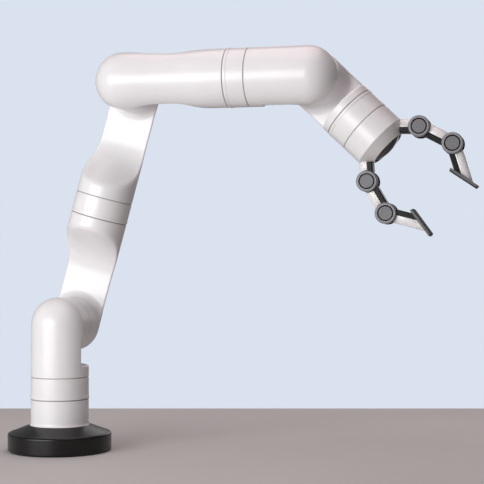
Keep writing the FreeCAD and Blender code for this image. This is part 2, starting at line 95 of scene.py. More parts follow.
# Links, in millimetres.  A link's own frame has +Z along it, from its pitch joint, and its
# neighbour on the +Y side.
LINK_R = 50.0
LINK_OFFSET = 50.0
BARREL_R = 47.5
GROOVE = 1.6
SEAM_DEPTH = LINK_OFFSET / 2 - GROOVE / 2
FLARE_R = 15.0
LEDGE_CORNER_R = 4.0
EDGE_R = 3.5
LIP_RISE, LIP_WIDTH = 0.57, 5.0  # the CAD lip rises 0.6, and the finer mesh stays inside it
BANDS = {"j1": (89.7, 127.7), "j3": (196.8, 233.7), "j5": (186.9, 223.3), "j7": (83.0, 119.6)}
COLUMN_FLAT, LOWER_ARM_FLAT, FOREARM_REAR_FLAT, FRONT_FLAT = -16.0, -22.0, -16.0, -7.0
FOREARM_WAIST = 3.5
WAIST_START, WAIST_MIDDLE, WAIST_END = 0.05, 0.46, 0.88  # shares of the link's length
SWELL_START, SWELL_END = 0.42, 0.97  # of a long link, where its flat swells into the round
SWELL_OVER = 8.0
COLUMN_LEDGE, FOREARM_LEDGE, WRIST_LEDGE = 69.0, 76.0, 69.0
FLANGE_POCKET_R, FLANGE_POCKET_DEPTH = 36.0, 4.0
WRIST_LENGTH = 173.8
ROLL = 0.6  # rounding of the edges at the seams
RIM_WIDTH = 6.0  # flat ring inside a seam's rounded edge
BAND_WALL = 5.0
BORE_EDGE_R, LIP_EDGE_R = 0.3, 0.28  # of a band

# Base and gripper, in millimetres
DISC_R, DISC_RIM_Z, CONE_TOP_Z, CONE_TOP_R = 89.5, 31.5, 44.8, 52.5
DISC_FOOT_BEVEL = 3.0
RIM_INSET, RIM_RISE = 5.0, 1.0  # from the disc's rim to the foot of its cone
CONE_LENGTH, FACE_R, RECESS_R, RECESS_DEPTH = 17.6, 32.4, 30.6, 9.0
BEZEL_WALL, BEZEL_SET_BACK = 1.5, 0.8
CAMERA_GAP, CAMERA_LIFT = 0.05, 0.1  # of bezel and window, from the recess round and under them
WINDOW_EDGE, WINDOW_RISE = 6.9, 7.4  # height of the window's rim, and of its dome above that
STUB_ROOT, KNUCKLE_1, KNUCKLE_2 = (38.0, -13.0), (62.6, 14.2), (79.5, 73.9)
PAD_CENTRE, PAD_SPLAY, PAD_BACK = (50.0, 126.8), 10.0, 3.0
COVER_HALF_W, COVER_TOP, COVER_FOOT, COVER_LINE = 13.0, 12.4, -1.6, 0.8
COVER_EDGE_R, COVER_EDGE_MIDDLE = 0.6, 0.3  # at a cover's foot; share of it at half way round
COVER_LINE_EDGE = 0.1  # broken edge of the line along a cover's flank
COVER_ARC_FROM, COVER_ARC_TO = 2.9, 0.35  # start of the round above the line, its end below the top
COVER_TOP_EDGE = ((0.1, 0.5), (0.0, 1.2))  # drop below the top, inset from the flank
COVER_ENDS = ((0.35, 0.0), (0.1, 0.1), (0.0, 0.35))  # rise to the end surface, inset
COVER_SHARP = math.radians(38)
KNUCKLE_SPACE_R = 18.8
STUB_SINK = 0.1  # of the stub covers into the housing's cone
STUB_SEARCH_FROM = -10.0  # height along a stub that is surely inside the cone
CAP_R, CAP_FOOT, CAP_W = 18.0, 15.3, 4.0
CAP_BEVEL, CAP_EDGE = 1.8, 2.0
CAP_GROOVE_OUT, CAP_GROOVE_IN, CAP_GROOVE_DEPTH = 4.8, 6.3, 2.2  # the first two below CAP_R
CAP_DISC_DEPTH = 0.4
CAP_GROOVE_SHADOW = (CAP_R - 6.8, CAP_R - 4.4)  # radii between which a front cap is painted dark: a painted shadow of its groove, a little wider than it

# Mesh resolution, in millimetres where it is a length
CELL = 2.0
SKIN_MARGIN = 3.0
LEDGE_SPACE = 1.0  # the cut at a side seam stops this far before a ledge
SIDE_SHARE = 0.6  # and at this share of the length of a link without one
END_CELLS = 4  # how far the cut at a link's open end reaches back
LATHE_SEGMENTS = 160
CAP_SEGMENTS = 96
CORNER_STEPS = 5
DOME_RINGS = 14
COVER_STEPS = 26
HALVINGS = 40  # in the search for a stub cover's root

# Tolerances
STRAIGHT = 0.01  # radians from a straight line at which a corner is left as it is
ON_AXIS = 1e-6
ON_PLANE = 1e-3
CUT_TOLERANCE = 1e-4

# Search for the zero surface of a distance field
PROBE = 0.05
SLOPE_PROBE = 0.5
SETTLE_ROUNDS = 5
LEAST_SLOPE_SQUARE = 0.2  # keeps a move finite where the field hardly changes

joints = {j["name"]: j for j in frame["joints"]}


def joint_place(name):
    return Vector(joints[name]["pos_m"])


def joint_tilt(name):
    """Angle of a joint's axis from vertical towards +X."""
    axis = joints[name]["axis"]
    return math.atan2(axis[0], axis[2])


J2, J4, J6 = joint_place("j2"), joint_place("j4"), joint_place("j6")
LOWER_ARM, FOREARM, WRIST = joint_tilt("j3"), joint_tilt("j5"), joint_tilt("j7")


def link_matrix(joint, angle, far_side):
    """From a link's own frame in millimetres to the row's frame in metres."""
    turn = Matrix.Rotation(angle, 4, "Y")
    if far_side:
        joint = joint + Vector((0, LINK_OFFSET * MM, 0))
        turn = turn @ Matrix.Rotation(math.pi, 4, "Z")
    return Matrix.Translation(joint) @ turn @ Matrix.Scale(MM, 4)


# ---------------------------------------------------------------- mesh helpers


def place_in_scene(name, data):
    obj = bpy.data.objects.new(name, data)
    bpy.context.scene.collection.objects.link(obj)
    return obj


def new_object(name, points, faces, matrix, normals=None):
    """Smooth mesh object from points in a local frame, baked into the row's frame."""
    mesh = bpy.data.meshes.new(name)
    mesh.from_pydata([tuple(p) for p in points], [], faces)
    mesh.transform(matrix)
    mesh.validate()
    mesh.shade_smooth()
    if normals is not None:
        turn = np.array(matrix.to_3x3().normalized())
        world = np.asarray(normals) @ turn.T
        mesh.normals_split_custom_set_from_vertices([tuple(n) for n in world])
    return place_in_scene(name, mesh)


def rounded(corners):
    """Closed outline with each corner turned into an arc: rows of x, y and outward normal."""
    count = len(corners)
    out = []
    for i, (x, y, radius) in enumerate(corners):
        here = np.array([x, y])
        before = np.array(corners[i - 1][:2]) - here
        after = np.array(corners[(i + 1) % count][:2]) - here
        back, ahead = before / np.linalg.norm(before), after / np.linalg.norm(after)
        n_back, n_ahead = np.array([-back[1], back[0]]), np.array([ahead[1], -ahead[0]])
        half = math.acos(max(-1.0, min(1.0, float(back @ ahead)))) / 2
        if radius == 0 or half > math.pi / 2 - STRAIGHT:
            mean = n_back + n_ahead
            out.append((*here, *(mean / np.linalg.norm(mean))))
            continue
        reach = radius / math.tan(half)
        start = here + back * reach
        hollow = back[0] * ahead[1] - back[1] * ahead[0] > 0
        side = 1 if hollow else -1
        centre = start + n_back * radius * side
        angle = math.atan2(n_back[1], n_back[0])
        turn = math.atan2(n_ahead[1], n_ahead[0]) - angle
        turn = (turn + math.pi) % (2 * math.pi) - math.pi
        for k in range(CORNER_STEPS + 1):
            t = k / CORNER_STEPS
            n = np.array([math.cos(angle + turn * t), math.sin(angle + turn * t)])
            out.append((*(centre - n * radius * side), *n))
    return out


def lathe(name, corners, matrix, segments=LATHE_SEGMENTS):
    """Turned piece about local Z.  Corners are radius, height and rounding, anticlockwise."""
    rows = rounded(corners)
    points, normals, rings = [], [], []
    angles = [2 * math.pi * k / segments for k in range(segments)]
    for r, z, nr, nz in rows:
        if r < ON_AXIS:
            rings.append([len(points)] * segments)
            points.append((0, 0, z))
            normals.append((0, 0, 1 if nz > 0 else -1))
            continue
        rings.append(list(range(len(points), len(points) + segments)))
        points += [(r * math.cos(a), r * math.sin(a), z) for a in angles]
        normals += [(nr * math.cos(a), nr * math.sin(a), nz) for a in angles]
    faces = []
    for i, lower in enumerate(rings):
        upper = rings[(i + 1) % len(rings)]
        for k in range(segments):
            m = (k + 1) % segments
            loop = [lower[k], lower[m], upper[m], upper[k]]
            face = [v for n, v in enumerate(loop) if v != loop[n - 1]]
            if len(set(face)) > 2:
                faces.append(face)
    return new_object(name, points, faces, matrix, normals)


def joined(name, pieces):
    """One object from several, with their normals."""
    bm = bmesh.new()
    for piece in pieces:
        bm.from_mesh(piece.data)
    mesh = bpy.data.meshes.new(name)
    bm.to_mesh(mesh)
    bm.free()
    normals = np.concatenate([corner_normals(p.data) for p in pieces])
    mesh.normals_split_custom_set([tuple(n) for n in normals])
    for piece in pieces:
        old = piece.data
        bpy.data.objects.remove(piece)
        bpy.data.meshes.remove(old)
    return place_in_scene(name, mesh)


def corner_normals(mesh):
    out = np.zeros(len(mesh.loops) * 3, np.float32)
    mesh.corner_normals.foreach_get("vector", out)
    return out.reshape(-1, 3)


# ------------------------------------------------------------- smooth link skins


def union_round(a, b, radius):
    """Union of two distance fields with a hollow fillet."""
    u, v = np.maximum(radius - a, 0), np.maximum(radius - b, 0)
    return np.maximum(radius, np.minimum(a, b)) - np.hypot(u, v)


def common_round(a, b, radius):
    """Intersection of two distance fields with a rounded edge."""
    u, v = np.maximum(radius + a, 0), np.maximum(radius + b, 0)
    return np.minimum(-radius, np.maximum(a, b)) + np.hypot(u, v)


def smooth_step(t):
    t = np.clip(t, 0, 1)
    return t * t * (3 - 2 * t)


def swell(fraction):
    """Share of the full round that a long link's inner side has reached."""
    return smooth_step((fraction - SWELL_START) / (SWELL_END - SWELL_START)) ** 2


# What the rounding of a link's edge takes off the barrel's radius in the middle plane, where
# the barrel's own length starts.  The barrel grows from there to its full radius.
BARREL_STEP = LINK_R - BARREL_R
EDGE_LOSS = EDGE_R - (BARREL_STEP + math.sqrt(2 * EDGE_R**2 - BARREL_STEP**2)) / 2
BARREL_GROWTH = 8.0


def skin_field(length, flat, waist, ledge):
    """Distance to a link's outside; the barrel and the open end run on past their seams."""
    full = LINK_R + SWELL_OVER
    step = SLOPE_PROBE / length
    start, middle, end = (share * length for share in (WAIST_START, WAIST_MIDDLE, WAIST_END))

    def field(p):
        x, y, z = p[..., 0], p[..., 1], p[..., 2]
        dip = smooth_step((z - start) / (middle - start)) * smooth_step((end - z) / (end - middle))
        bar = np.sqrt(x**2 + y**2 + np.minimum(z, 0) ** 2) - (LINK_R - waist * dip)
        if ledge:
            keep = union_round(y - flat, ledge - z, LEDGE_CORNER_R)
        else:
            rise = np.sqrt(np.maximum(full**2 - x**2, 0)) - flat
            slope = (swell(z / length + step) - swell(z / length - step)) * rise
            keep = (y - flat - swell(z / length) * rise) / np.hypot(1, slope)
        barrel = np.hypot(x, z) - BARREL_R
        body = common_round(bar, union_round(keep, barrel, FLARE_R), EDGE_R)
        drawn_in = EDGE_LOSS * (1 - smooth_step(y / BARREL_GROWTH))
        return np.minimum(body, np.maximum(barrel + drawn_in, -y))

    return field


def gradient(field, p):
    out = np.empty_like(p)
    for axis in range(3):
        step = np.zeros(3)
        step[axis] = PROBE
        out[:, axis] = (field(p + step) - field(p - step)) / (2 * PROBE)
    return out


def settle(field, p):
    """Move points onto the field's zero surface."""
    for _ in range(SETTLE_ROUNDS):
        slope = gradient(field, p)
        square = np.maximum((slope**2).sum(1), LEAST_SLOPE_SQUARE)
        move = np.clip(field(p) / square, -CELL, CELL)
        p = p - slope * move[:, None]
    return p


def surface(field, low, high):
    """Quad mesh of the field's zero surface inside a box."""
    counts = [math.ceil((last - first) / CELL) + 1 for first, last in zip(low, high)]
    axes = [first + CELL * np.arange(count) for first, count in zip(low, counts)]
    values = field(np.stack(np.meshgrid(*axes, indexing="ij"), -1))
    solid = values < 0
    corners = [
        solid[i : counts[0] - 1 + i, j : counts[1] - 1 + j, k : counts[2] - 1 + k]
        for i in (0, 1)
        for j in (0, 1)
        for k in (0, 1)
    ]
    total = sum(c.astype(int) for c in corners)
    active = (total > 0) & (total < len(corners))
    index = np.full(active.shape, -1)
    index[active] = np.arange(active.sum())
    points = np.argwhere(active) * CELL + np.array(low) + CELL / 2
    faces = []
    for axis in range(3):
        u, v = [a for a in range(3) if a != axis]
        ahead = np.roll(solid, -1, axis)
        crossing = solid != ahead
        cells = np.argwhere(crossing)
        inside = cells[:, axis] < counts[axis] - 1
        for a in (u, v):
            inside &= (cells[:, a] > 0) & (cells[:, a] < counts[a] - 1)
        cells = cells[inside]
        quad = []
        for du, dv in ((-1, -1), (0, -1), (0, 0), (-1, 0)):
            at = cells.copy()
            at[:, u] += du
            at[:, v] += dv
            quad.append(index[at[:, 0], at[:, 1], at[:, 2]])
        quad = np.stack(quad, 1)
        flip = solid[cells[:, 0], cells[:, 1], cells[:, 2]] == (axis == 1)
        quad[flip] = quad[flip][:, ::-1]
        faces.append(quad)
    return settle(field, points), np.concatenate(faces)


def trim(bm, near, plane_point, plane_normal):
    """Cut the faces that near() accepts along a plane, and return the edges of the cut."""
    touched = [f for f in bm.faces if near(f.calc_center_median())]
    geometry = set(touched)
    for f in touched:
        geometry.update(f.verts)
        geometry.update(f.edges)
    bmesh.ops.bisect_plane(
        bm,
        geom=list(geometry),
        plane_co=plane_point,
        plane_no=plane_normal,
        dist=CUT_TOLERANCE,
    )
    beyond = []
    for f in bm.faces:
        centre = f.calc_center_median()
        if near(centre) and (centre - plane_point).dot(plane_normal) > 0:
            beyond.append(f)
    bmesh.ops.delete(bm, geom=beyond, context="FACES")

    def on_plane(vert):
        return abs((vert.co - plane_point).dot(plane_normal)) < ON_PLANE

    return [e for e in bm.edges if e.is_boundary and all(on_plane(v) for v in e.verts)]


def turn_in(bm, edges, axis, rings, known):
    """Roll a cut edge inwards over rings of (inset, advance, tilt) and close it.

    A ring without an inset has the flange pocket's radius.  The normals of the new points are
    added to known.
    """
    chains = {}
    for edge in edges:
        for vert in edge.verts:
            if vert in chains:
                continue
            along = axis * vert.co.dot(axis)
            outward = (vert.co - along).normalized()
            reach = (vert.co - along).length
            chain = [vert]
            for inset, advance, tilt in rings:
                radius = FLANGE_POCKET_R if inset is None else reach - inset
                new = bm.verts.new(along + axis * advance + outward * radius)
                known[new] = (outward * math.cos(tilt) + axis * math.sin(tilt)).normalized()
                chain.append(new)
            chains[vert] = chain
    base = axis * next(iter(chains)).co.dot(axis)
    closing = rings[-1][1]
    centre = bm.verts.new(base + axis * closing)
    known[centre] = axis
    for edge in edges:
        loop = edge.link_loops[0]
        a, b = chains[loop.link_loop_next.vert], chains[loop.vert]
        for k in range(len(a) - 1):
            bm.faces.new((a[k], b[k], b[k + 1], a[k + 1]))
        bm.faces.new((a[-1], b[-1], centre))


def seam_rings(pocket):
    """Rings of a rounded seam edge, its flat rim and, if asked for, the pocket of a flange."""
    half, full = math.pi / 4, math.pi / 2
    slack = ROLL * (1 - math.cos(half))
    rings = [(slack, ROLL - slack, half), (ROLL, ROLL, full), (RIM_WIDTH, ROLL, full)]
    if pocket:
        rings += [(None, ROLL, full), (None, ROLL - FLANGE_POCKET_DEPTH, full)]
    return rings


def link_skin(
    name, joint, angle, length, flat, far_side=False, waist=0, ledge=None, pocket=False
):
    """Outside of one link shell as a single smooth closed skin."""
    field = skin_field(length, flat, waist, ledge)
    reach = LINK_R + SKIN_MARGIN
    points, faces = surface(field, (-reach, -reach, -reach), (reach, reach, length + SKIN_MARGIN))
    bm = bmesh.new()
    verts = [bm.verts.new(p) for p in points]
    for face in faces:
        bm.faces.new([verts[i] for i in face])
    side_stop = ledge - LEDGE_SPACE if ledge else SIDE_SHARE * length
    end_start = length - END_CELLS * CELL

    def near_side(centre):
        return centre.z < side_stop and centre.y > 0

    def near_end(centre):
        return centre.z > end_start

    known = {}
    side, lengthwise = Vector((0, 1, 0)), Vector((0, 0, 1))
    cut = trim(bm, near_side, Vector((0, SEAM_DEPTH - ROLL, 0)), side)
    turn_in(bm, cut, side, seam_rings(pocket), known)
    cut = trim(bm, near_end, Vector((0, 0, length - ROLL)), lengthwise)
    turn_in(bm, cut, lengthwise, seam_rings(False), known)
    loose = [v for v in bm.verts if not v.link_faces]
    bmesh.ops.delete(bm, geom=loose, context="VERTS")
    bm.verts.index_update()
    places = np.array([v.co[:] for v in bm.verts])
    normals = gradient(field, places)
    normals /= np.linalg.norm(normals, axis=1)[:, None]
    for v, n in known.items():
        normals[v.index] = n
    corners = [[v.index for v in f.verts] for f in bm.faces]
    bm.free()
    return new_object(name, places, corners, link_matrix(joint, angle, far_side), normals)


# ------------------------------------------------------------------- materials

NOISE_LOW, NOISE_HIGH = 0.3, 0.7  # where most of a noise's values lie
TONE_LOW, TONE_HIGH = 0.35, 0.65  # noise at which a tone is all dark and all light
TONE_DETAIL, GLOSS_DETAIL, GRAIN_DETAIL = 4.0, 3.0, 2.0
GLOSS_FINENESS = 12  # times the scale of the tone
STREAK_SCALE, STREAK_STRETCH = 300.0, (1.0, 8.0, 1.0)
STREAK_BUMP = (0.15, 0.0002)  # strength, depth in metres
METAL_GLOSS_SCALE = 90.0


def set_inputs(node, values):
    """Give a node its values, named like its inputs with _ for a space."""
    for name, value in values.items():
        node.inputs[name.replace("_", " ")].default_value = value


class Tree:
    """Short way to write a node tree."""

    def __init__(self, owner):
        owner.use_nodes = True
        self.tree = owner.node_tree
        self.tree.nodes.clear()

    def add(self, kind, **values):
        node = self.tree.nodes.new("ShaderNode" + kind)
        set_inputs(node, values)
        return node

    def link(self, source, target):
        self.tree.links.new(source, target)

    def ramp(self, source, stops):
        """Colours from stops of position and colour."""
        node = self.add("ValToRGB")
        ends = node.color_ramp.elements
        ends[0].position, ends[1].position = stops[0][0], stops[-1][0]
        ends[0].color, ends[1].color = (*stops[0][1], 1), (*stops[-1][1], 1)
        for position, colour in stops[1:-1]:
            ends.new(position).color = (*colour, 1)
        self.link(source, node.inputs["Fac"])
        return node.outputs["Color"]


class Finish(Tree):
    """A material's node tree, round one shader."""

    def __init__(self, name):
        self.material = bpy.data.materials.new(name)
        super().__init__(self.material)
        self.shader = self.add("BsdfPrincipled")
        output = self.add("OutputMaterial")
        self.link(self.shader.outputs["BSDF"], output.inputs["Surface"])
        self.place = self.add("TexCoord").outputs["Object"]

    def noise(self, scale, detail, stretch=None):
        node = self.add("TexNoise", Scale=scale, Detail=detail)
        source = self.place
        if stretch:
            mapping = self.add("Mapping", Scale=stretch)
            self.link(self.place, mapping.inputs["Vector"])
            source = mapping.outputs["Vector"]
        self.link(source, node.inputs["Vector"])
        return node.outputs["Fac"]

    def spread(self, source, low, high):
        """Noise spread over a range of values."""
        node = self.add(
            "MapRange", From_Min=NOISE_LOW, From_Max=NOISE_HIGH, To_Min=low, To_Max=high
        )
        self.link(source, node.inputs["Value"])
        return node.outputs["Result"]

    def bump(self, layers):
        """Chain of bumps: each layer is a height, a strength and a depth in metres."""
        last = None
        for height, strength, distance in layers:
            node = self.add("Bump", Strength=strength, Distance=distance)
            self.link(height, node.inputs["Height"])
            if last:
                self.link(last, node.inputs["Normal"])
            last = node.outputs["Normal"]
        self.link(last, self.shader.inputs["Normal"])

    def colour_and_gloss(self, tone, stops, gloss, rough):
        self.link(self.ramp(tone, stops), self.shader.inputs["Base Color"])
        self.link(self.spread(gloss, *rough), self.shader.inputs["Roughness"])


def finish_material(name, dark, light, rough, grain, tone_scale=14.0, **values):
    """Base tone that drifts between two colours, uneven gloss and a fine surface grain.

    The grain is a list of scale, strength and depth in metres.
    """
    finish = Finish(name)
    tone = finish.noise(tone_scale, TONE_DETAIL)
    gloss = finish.noise(tone_scale * GLOSS_FINENESS, GLOSS_DETAIL)
    finish.colour_and_gloss(tone, [(TONE_LOW, dark), (TONE_HIGH, light)], gloss, rough)
    finish.bump([(finish.noise(scale, GRAIN_DETAIL), *depth) for scale, *depth in grain])
    set_inputs(finish.shader, values)
    return finish.material


def turned_metal(name, dark, light, rough):
    """Machined metal with fine streaks, from noise that is stretched one way."""
    finish = Finish(name)
    streak = finish.noise(STREAK_SCALE, TONE_DETAIL, STREAK_STRETCH)
    gloss = finish.noise(METAL_GLOSS_SCALE, GLOSS_DETAIL)
    finish.colour_and_gloss(streak, [(NOISE_LOW, dark), (NOISE_HIGH, light)], gloss, rough)
    finish.bump([(streak, *STREAK_BUMP)])
    set_inputs(finish.shader, {"Metallic": 1.0})
    return finish.material


white = finish_material(
    "white_enamel", (0.800, 0.793, 0.800), (0.830, 0.823, 0.830), (0.30, 0.36),
    [(650.0, 0.02, 0.0002), (60.0, 0.02, 0.001)], Coat_Weight=0.25, Coat_Roughness=0.2,
)
white_cover = finish_material(
    "white_cover_gloss", (0.83, 0.82, 0.82), (0.86, 0.85, 0.85), (0.24, 0.30),
    [(900.0, 0.015, 0.0001)], tone_scale=40.0, Coat_Weight=0.3, Coat_Roughness=0.15,
)
black_base = finish_material(
    "black_base_satin", (0.0045, 0.0042, 0.0038), (0.007, 0.0066, 0.006), (0.28, 0.36),
    [(1400.0, 0.02, 0.0001), (90.0, 0.02, 0.001)], tone_scale=20.0, Coat_Weight=0.12,
    Coat_Roughness=0.16, Specular_IOR_Level=0.3,
)
finger_black = finish_material(
    "finger_black_anodised", (0.006, 0.0057, 0.0052), (0.010, 0.0096, 0.009), (0.26, 0.34),
    [(700.0, 0.02, 0.0001)], tone_scale=60.0, Specular_IOR_Level=0.18,
)
cap_grey = finish_material(
    "knuckle_grey_satin", (0.150, 0.150, 0.160), (0.168, 0.168, 0.178), (0.40, 0.46),
    [(700.0, 0.02, 0.0001)], tone_scale=50.0,
)
pad_grey = finish_material(
    "pad_plate_grey", (0.095, 0.096, 0.100), (0.112, 0.113, 0.117), (0.38, 0.46),
    [(700.0, 0.02, 0.0001)], tone_scale=50.0, Metallic=0.2,
)
# Lighter grey for a front cap's bevelled rim: a painted highlight
cap_rim_highlight = finish_material(
    "knuckle_rim_painted_highlight", (0.235, 0.235, 0.250), (0.260, 0.260, 0.275), (0.34, 0.40),
    [(700.0, 0.02, 0.0001)], tone_scale=50.0,
)
pad_rubber = finish_material(
    "pad_rubber_black", (0.018, 0.018, 0.018), (0.030, 0.030, 0.031), (0.62, 0.80),
    [(1500.0, 0.5, 0.0003)], tone_scale=70.0, Sheen_Weight=0.1,
)
seal_rubber = finish_material(
    "seal_rubber_grey", (0.38, 0.365, 0.355), (0.43, 0.41, 0.40), (0.55, 0.72),
    [(1500.0, 0.4, 0.0002)], tone_scale=50.0,
)
panel_black = finish_material(
    "panel_black_moulded", (0.014, 0.014, 0.015), (0.024, 0.024, 0.025), (0.42, 0.56),
    [(1800.0, 0.35, 0.0002)], tone_scale=60.0,
)
window = finish_material(
    "window_dark_glass", (0.010, 0.012, 0.015), (0.014, 0.016, 0.020), (0.04, 0.07),
    [(25.0, 0.02, 0.001)], tone_scale=30.0, Coat_Weight=0.25, Coat_Roughness=0.06,
    Specular_IOR_Level=0.35,
)
bezel_black = finish_material(
    "bezel_black", (0.010, 0.010, 0.011), (0.016, 0.016, 0.017), (0.30, 0.42),
    [(1800.0, 0.2, 0.0001)], tone_scale=60.0,
)
aluminium = turned_metal("bare_aluminium", (0.62, 0.62, 0.63), (0.74, 0.74, 0.75), (0.28, 0.42))
steel = turned_metal("motor_steel", (0.42, 0.42, 0.43), (0.54, 0.54, 0.55), (0.32, 0.46))
screw_steel = turned_metal("screw_blackened", (0.05, 0.05, 0.05), (0.09, 0.09, 0.09), (0.34, 0.48))

SLOT_MATERIALS = {
    "white_shell": white,
    "white_cover": white_cover,
    "black_base": black_base,
    "seal_rubber": seal_rubber,
    "motor_steel": steel,
    "bare_aluminium": aluminium,
    "screw_steel": screw_steel,
    "black_plastic": panel_black,
    "window_glass": window,
    "finger_black": finger_black,
    "knuckle_grey": cap_grey,
    "pad_grey": pad_grey,
    "pad_rubber": pad_rubber,
}
node_slot = {s["node"]: s["material_slot"] for s in frame["record"]["subparts"]}
node_body = {n: o["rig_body"] for n, o in frame["nodes"].items()}

for node, obj in frame["nodes"].items():
    obj.data.materials.clear()
    obj.data.materials.append(SLOT_MATERIALS[node_slot[node]])
    obj.data.polygons.foreach_set("material_index", [0] * len(obj.data.polygons))


def stand_for(piece, node, material=None):
    """Put a piece in a CAD node's place, on its body and with its finish."""
    piece.data.materials.append(material or SLOT_MATERIALS[node_slot[node]])
    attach(piece, node_body[node])
    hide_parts(node)


# ---------------------------------------------------------------------- shells

half_groove = GROOVE / 2
lower_arm_length = (J4 - J2).length / MM
forearm_length = (J6 - J4).length / MM
SKINS = {
    "shoulder": {
        "joint": J2, "angle": math.pi, "length": J2.z / MM - BANDS["j1"][1] - half_groove,
        "flat": COLUMN_FLAT, "ledge": COLUMN_LEDGE, "pocket": True,
    },
    "lower_arm_lower": {
        "joint": J2, "angle": LOWER_ARM, "length": BANDS["j3"][0] - half_groove,
        "flat": LOWER_ARM_FLAT, "far_side": True,
    },
    "lower_arm_upper": {
        "joint": J4, "angle": LOWER_ARM + math.pi,
        "length": lower_arm_length - BANDS["j3"][1] - half_groove,
        "flat": LOWER_ARM_FLAT, "far_side": True, "pocket": True,
    },
    "forearm_rear": {
        "joint": J4, "angle": FOREARM, "length": BANDS["j5"][0] - half_groove,
        "flat": FOREARM_REAR_FLAT, "waist": FOREARM_WAIST,
    },
    "forearm_front": {
        "joint": J6, "angle": FOREARM + math.pi,
        "length": forearm_length - BANDS["j5"][1] - half_groove,
        "flat": FRONT_FLAT, "ledge": FOREARM_LEDGE, "pocket": True,
    },
    "wrist": {
        "joint": J6, "angle": WRIST, "length": BANDS["j7"][0] - half_groove,
        "flat": FRONT_FLAT, "far_side": True, "ledge": WRIST_LEDGE,
    },
}
for name, shape in SKINS.items():
    stand_for(link_skin(f"{name}_skin", **shape), f"{name}_shell")

BAND_FRAMES = {
    "j1": link_matrix(Vector((0, 0, 0)), 0, False),
    "j3": link_matrix(J2, LOWER_ARM, True),
    "j5": link_matrix(J4, FOREARM, False),
    "j7": link_matrix(J6, WRIST, True),
}
for name, matrix in BAND_FRAMES.items():
    low, high = BANDS[name][0] + half_groove, BANDS[name][1] - half_groove
    lip, step = LINK_R + LIP_RISE, low + LIP_WIDTH
    inner = LINK_R - BAND_WALL
    corners = [
        (inner, low, BORE_EDGE_R), (lip, low, ROLL), (lip, step, LIP_EDGE_R),
        (LINK_R, step, LIP_EDGE_R), (LINK_R, high, ROLL), (inner, high, BORE_EDGE_R),
    ]
    stand_for(lathe(f"{name}_ring", corners, matrix), f"{name}_band")

# ------------------------------------------------------------------------ base

upright = Matrix.Scale(MM, 4)
disc_corners = [
    (0, 0, 0), (DISC_R - DISC_FOOT_BEVEL, 0, 0.8), (DISC_R, DISC_FOOT_BEVEL, 1.2),
    (DISC_R, DISC_RIM_Z, 4.5), (DISC_R - RIM_INSET, DISC_RIM_Z + RIM_RISE, 3.0),
    (CONE_TOP_R, CONE_TOP_Z, 0.6), (0, CONE_TOP_Z, 0),
]
stand_for(lathe("base_disc_body", disc_corners, upright), "base_disc")

# --------------------------------------------------------------------- gripper

wrist_frame = link_matrix(J6, WRIST, True)
start = BANDS["j7"][1] + half_groove
cone = WRIST_LENGTH - CONE_LENGTH
floor_z = WRIST_LENGTH - RECESS_DEPTH
housing = [
    (0, start, 0), (LINK_R, start, ROLL), (LINK_R, cone, 1.6), (FACE_R, WRIST_LENGTH, 0.45),
    (RECESS_R, WRIST_LENGTH, 0.45), (RECESS_R, floor_z, 0.3), (0, floor_z, 0),
]
stand_for(lathe("gripper_housing_body", housing, wrist_frame), "gripper_housing")

bezel_in, bezel_out = RECESS_R - BEZEL_WALL, RECESS_R - CAMERA_GAP
camera_low, bezel_top = floor_z + CAMERA_LIFT, WRIST_LENGTH - BEZEL_SET_BACK
bezel = [
    (bezel_in, camera_low, 0.1), (bezel_out, camera_low, 0.1),
    (bezel_out, bezel_top, 0.2), (bezel_in, bezel_top, 0.6),
]
stand_for(lathe("camera_bezel_ring", bezel, wrist_frame), "camera_bezel", bezel_black)


def dome(radius, foot, edge, rise):
    """Turned outline of a dome that stands out of its recess."""
    sphere_r = (radius**2 + rise**2) / (2 * rise)
    centre = foot + edge + rise - sphere_r
    out = [(0, foot, 0), (radius, foot, 0.2)]
    for k in range(DOME_RINGS + 1):
        r = radius * (1 - k / DOME_RINGS)
        out.append((r, centre + math.sqrt(sphere_r**2 - r**2), 0))
    return out


glass = dome(bezel_in - CAMERA_GAP, camera_low, WINDOW_EDGE, WINDOW_RISE)
stand_for(lathe("camera_window_glass", glass, wrist_frame), "camera_window")


def gripper_matrix(side):
    """From the gripper's frame, with its end face at the origin, to the row's frame."""
    turn = Matrix.Rotation(WRIST, 4, "Y")
    face = J6 + Vector((0, LINK_OFFSET * MM, 0)) + (turn @ Vector((0, 0, WRIST_LENGTH * MM)))
    if side == "upper":
        turn = turn @ Matrix.Rotation(math.pi, 4, "Z")
    return Matrix.Translation(face) @ turn @ Matrix.Scale(MM, 4)


def line_matrix(side, start, end):
    """Frame of a finger link in the row's frame, its length and its frame on the gripper."""
    run_x, run_z = end[0] - start[0], end[1] - start[1]
    angle = math.atan2(run_x, run_z)
    shift = Matrix.Translation((start[0], 0, start[1]))
    local = shift @ Matrix.Rotation(angle, 4, "Y")
    return gripper_matrix(side) @ local, math.hypot(run_x, run_z), local


